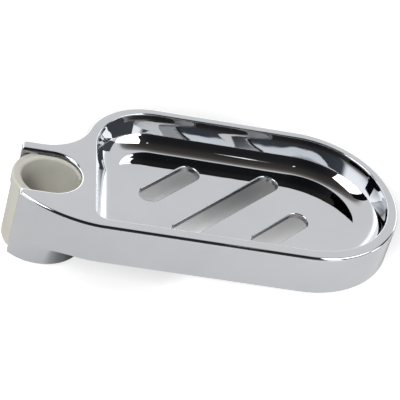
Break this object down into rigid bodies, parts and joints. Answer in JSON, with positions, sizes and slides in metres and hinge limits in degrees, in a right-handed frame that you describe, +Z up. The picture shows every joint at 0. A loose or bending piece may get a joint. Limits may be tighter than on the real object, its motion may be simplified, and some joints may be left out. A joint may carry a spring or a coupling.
{
  "type": "shower rail soap holder",
  "caption": "Chrome plated soap dish with a slotted tray, which drops over a split plastic sleeve that grips a round shower riser rail.",
  "frame": {"origin": "on the axis of the rail, level with the flat top of the dish", "axes": "+Z up along the rail, +X along the dish away from the rail, +Y to the rear, where the dish hangs out further from the rail"},
  "size_m": [0.1535, 0.0779, 0.033],
  "materials": {
    "chrome_plated_abs": "polished",
    "off_white_nylon": "satin"
  },
  "bodies": {
    "sleeve": {"rail_sleeve": "off_white_nylon"},
    "dish": {"dish_body": "chrome_plated_abs"}
  },
  "joints": [
    {"name": "dish_lift", "type": "slide", "parent": "sleeve", "child": "dish", "axis": [0, 0, 1], "range_m": [0, 0.03]}
  ]
}
